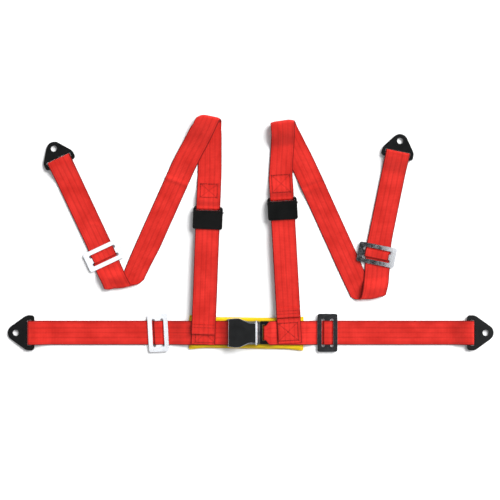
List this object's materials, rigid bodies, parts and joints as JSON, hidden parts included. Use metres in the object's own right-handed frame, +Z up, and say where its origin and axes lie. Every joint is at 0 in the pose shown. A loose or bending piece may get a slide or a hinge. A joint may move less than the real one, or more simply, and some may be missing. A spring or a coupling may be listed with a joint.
{
  "type": "racing harness",
  "caption": "Four-point racing harness in red webbing, laid flat, with a lift-lever buckle on a yellow pad, chrome sliders, black strap adjusters and black steel anchor plates.",
  "frame": {"origin": "on the floor that the harness lies on, in the middle of its outline", "axes": "+X along the lap belt towards the tongue's side, +Y from the lap belt towards the shoulder belts, +Z up off the floor"},
  "size_m": [0.9666, 0.4768, 0.0211],
  "materials": {
    "webbing_red": "woven polyester, low sheen, lengthwise ribs",
    "pad_yellow": "plain woven nylon, matt",
    "pad_foam": "soft closed-cell foam",
    "black_steel": "satin black powder coat",
    "chrome": "bright plated steel",
    "steel": "plain zinc-plated steel",
    "black_plastic": "fine-grained moulding"
  },
  "bodies": {
    "lap_left": {"left_lap_web": "webbing_red", "left_lap_buckle_loop": "webbing_red", "left_lap_return": "webbing_red", "left_lap_anchor_loop": "webbing_red", "left_shoulder_lower": "webbing_red", "pad_cover": "pad_yellow", "pad_foam": "pad_foam", "buckle_base": "steel", "buckle_web_bar": "steel", "lever_pin": "chrome", "pawl_pin": "steel", "lever_spring": "steel"},
    "lever": {"lever": "chrome", "lever_inlay": "black_plastic"},
    "pawl": {"latch_pawl": "steel"},
    "lap_right": {"right_lap_web": "webbing_red", "right_lap_tongue_loop": "webbing_red", "right_lap_return": "webbing_red", "right_lap_anchor_loop": "webbing_red", "right_shoulder_lower": "webbing_red", "tongue_plate": "steel", "tongue_head": "black_plastic"},
    "left_shoulder": {"left_shoulder_upright": "webbing_red", "left_top_fold": "webbing_red", "left_shoulder_leaning": "webbing_red", "left_bottom_fold": "webbing_red", "left_shoulder_outer": "webbing_red", "left_shoulder_return": "webbing_red", "left_shoulder_anchor_loop": "webbing_red", "left_adjuster_frame": "black_plastic", "left_adjuster_cover": "black_plastic", "left_adjuster_loop_bar": "steel", "left_adjuster_loop": "webbing_red", "left_tail": "webbing_red"},
    "left_locking_bar": {"left_locking_bar": "steel"},
    "right_shoulder": {"right_shoulder_upright": "webbing_red", "right_top_fold": "webbing_red", "right_shoulder_leaning": "webbing_red", "right_bottom_fold": "webbing_red", "right_shoulder_outer": "webbing_red", "right_shoulder_return": "webbing_red", "right_shoulder_anchor_loop": "webbing_red", "right_adjuster_frame": "black_plastic", "right_adjuster_cover": "black_plastic", "right_adjuster_loop_bar": "steel", "right_adjuster_loop": "webbing_red", "right_tail": "webbing_red"},
    "right_locking_bar": {"right_locking_bar": "steel"},
    "left_lap_slider": {"left_lap_slider": "chrome", "left_lap_slider_hump": "webbing_red"},
    "left_lap_anchor": {"left_lap_anchor": "black_steel"},
    "right_lap_slider": {"right_lap_slider": "chrome", "right_lap_slider_hump": "webbing_red"},
    "right_lap_anchor": {"right_lap_anchor": "black_steel"},
    "left_shoulder_slider": {"left_shoulder_slider": "chrome", "left_shoulder_slider_hump": "webbing_red"},
    "left_shoulder_anchor": {"left_shoulder_anchor": "black_steel"},
    "right_shoulder_slider": {"right_shoulder_slider": "chrome", "right_shoulder_slider_hump": "webbing_red"},
    "right_shoulder_anchor": {"right_shoulder_anchor": "black_steel"}
  },
  "joints": [
    {"name": "lever_lift", "type": "hinge", "parent": "lap_left", "child": "lever", "pos_m": [0.012, -0.1965, 0.0154], "axis": [0, 1, 0], "range_deg": [0, 100], "stiffness_Nm_per_rad": 0.05, "springref_deg": -28.65},
    {"name": "pawl_lift", "type": "hinge", "parent": "lap_left", "child": "pawl", "pos_m": [-0.024, -0.1965, 0.0138], "axis": [0, -1, 0], "range_deg": [0, 18]},
    {"name": "tongue_release", "type": "slide", "parent": "lap_left", "child": "lap_right", "axis": [1, 0, 0], "range_m": [0, 0.06]},
    {"name": "left_shoulder_adjust", "type": "slide", "parent": "lap_left", "child": "left_shoulder", "axis": [-0.0382, -0.9993, 0], "range_m": [0, 0.03]},
    {"name": "left_locking_bar_slide", "type": "slide", "parent": "left_shoulder", "child": "left_locking_bar", "axis": [-0.0382, -0.9993, 0], "range_m": [0, 0.003]},
    {"name": "right_shoulder_adjust", "type": "slide", "parent": "lap_right", "child": "right_shoulder", "axis": [0.0551, -0.9985, 0], "range_m": [0, 0.02]},
    {"name": "right_locking_bar_slide", "type": "slide", "parent": "right_shoulder", "child": "right_locking_bar", "axis": [0.0551, -0.9985, 0], "range_m": [0, 0.003]},
    {"name": "left_lap_slider_slide", "type": "slide", "parent": "lap_left", "child": "left_lap_slider", "axis": [-1, 0, 0], "range_m": [0, 0.18]},
    {"name": "right_lap_slider_slide", "type": "slide", "parent": "lap_right", "child": "right_lap_slider", "axis": [1, 0, 0], "range_m": [0, 0.2]},
    {"name": "left_shoulder_slider_slide", "type": "slide", "parent": "left_shoulder", "child": "left_shoulder_slider", "axis": [-0.4244, 0.9055, 0], "range_m": [0, 0.12]},
    {"name": "right_shoulder_slider_slide", "type": "slide", "parent": "right_shoulder", "child": "right_shoulder_slider", "axis": [0.202, 0.9794, 0], "range_m": [0, 0.12]},
    {"name": "left_lap_anchor_swing", "type": "hinge", "parent": "lap_left", "child": "left_lap_anchor", "pos_m": [-0.4314, -0.197, 0.0051], "axis": [0, 1, 0], "range_deg": [-90, 120]},
    {"name": "right_lap_anchor_swing", "type": "hinge", "parent": "lap_right", "child": "right_lap_anchor", "pos_m": [0.4342, -0.197, 0.0051], "axis": [0, -1, 0], "range_deg": [-90, 120]},
    {"name": "left_shoulder_anchor_swing", "type": "hinge", "parent": "left_shoulder", "child": "left_shoulder_anchor", "pos_m": [-0.37644, 0.14, 0.0051], "axis": [0.9055, 0.4244, 0], "range_deg": [-90, 120]},
    {"name": "right_shoulder_anchor_swing", "type": "hinge", "parent": "right_shoulder", "child": "right_shoulder_anchor", "pos_m": [0.29211, 0.153, 0.0051], "axis": [0.9794, -0.202, 0], "range_deg": [-90, 120]}
  ],
  "couplings": [
    {"joint": "pawl_lift", "follows": "lever_lift", "ratio": 0.18}
  ]
}
